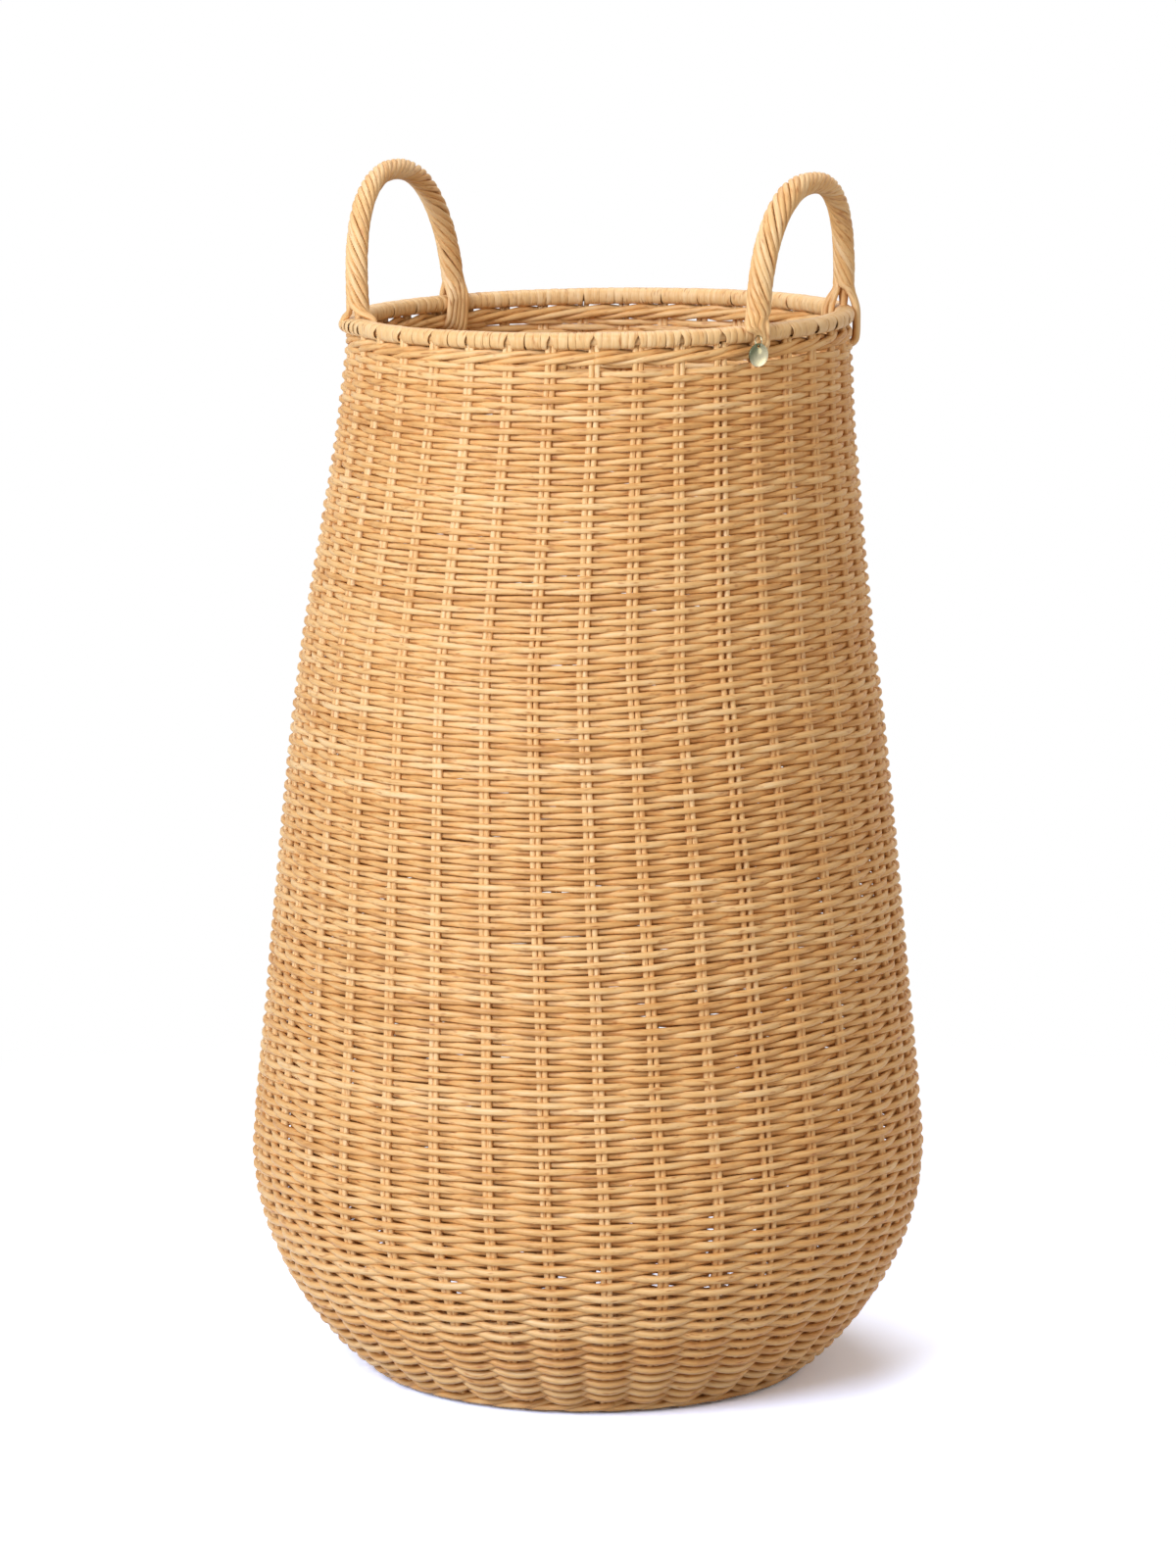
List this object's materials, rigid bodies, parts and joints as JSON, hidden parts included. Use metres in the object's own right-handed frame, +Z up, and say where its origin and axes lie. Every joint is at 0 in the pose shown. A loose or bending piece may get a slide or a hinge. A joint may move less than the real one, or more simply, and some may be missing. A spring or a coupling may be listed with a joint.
{
  "type": "laundry basket",
  "caption": "Tall round woven rattan laundry basket with a wide belly, a narrower wrapped rim, twisted rope handles and a small hanging brass tag.",
  "frame": {"origin": "on the floor under the middle of the foot", "axes": "+Z up, the handles on +X and -X, the tag at the front foot of the handle on +X"},
  "size_m": [0.4002, 0.4002, 0.7169],
  "materials": {
    "rattan_weave": "peeled rattan rods, satin, with light and dark lengths",
    "rattan_stakes": "peeled rattan rods, satin",
    "rattan_rope": "twisted peeled rattan rods, satin with fine grain along each rod",
    "cane_binding": "flat cane strip, satin with fine grain",
    "brass_tag": "pale polished brass, bare face"
  },
  "bodies": {
    "basket": {"foot_wale": "rattan_weave", "base_weave": "rattan_weave", "lower_weave": "rattan_weave", "upper_weave": "rattan_weave", "top_wale": "rattan_weave", "base_spokes": "rattan_stakes", "stake_pair_01": "rattan_stakes", "stake_pair_02": "rattan_stakes", "stake_pair_03": "rattan_stakes", "stake_pair_04": "rattan_stakes", "stake_pair_05": "rattan_stakes", "stake_pair_06": "rattan_stakes", "stake_pair_07": "rattan_stakes", "stake_pair_08": "rattan_stakes", "stake_pair_09": "rattan_stakes", "stake_pair_10": "rattan_stakes", "stake_pair_11": "rattan_stakes", "stake_pair_12": "rattan_stakes", "stake_pair_13": "rattan_stakes", "stake_pair_14": "rattan_stakes", "stake_pair_15": "rattan_stakes", "stake_pair_16": "rattan_stakes", "stake_pair_17": "rattan_stakes", "stake_pair_18": "rattan_stakes", "stake_pair_19": "rattan_stakes", "stake_pair_20": "rattan_stakes", "stake_pair_21": "rattan_stakes", "stake_pair_22": "rattan_stakes", "stake_pair_23": "rattan_stakes", "stake_pair_24": "rattan_stakes", "stake_pair_25": "rattan_stakes", "stake_pair_26": "rattan_stakes", "stake_pair_27": "rattan_stakes", "stake_pair_28": "rattan_stakes", "stake_pair_29": "rattan_stakes", "stake_pair_30": "rattan_stakes", "stake_pair_31": "rattan_stakes", "stake_pair_32": "rattan_stakes", "stake_pair_33": "rattan_stakes", "stake_pair_34": "rattan_stakes", "stake_pair_35": "rattan_stakes", "stake_pair_36": "rattan_stakes", "stake_pair_37": "rattan_stakes", "rim_hoop_outer": "rattan_stakes", "rim_hoop_inner": "rattan_stakes", "rim_binding": "cane_binding", "handle_left_bow": "rattan_stakes", "handle_left_rope": "rattan_rope", "handle_right_bow": "rattan_stakes", "handle_right_rope": "rattan_rope", "tag_ring": "brass_tag"},
    "tag": {"tag_disc": "brass_tag"}
  },
  "joints": [
    {"name": "tag_swing", "type": "hinge", "parent": "basket", "child": "tag", "pos_m": [0.13105, -0.09034, 0.6243], "axis": [-0.5878, -0.809, 0], "range_deg": [0, 165]}
  ]
}
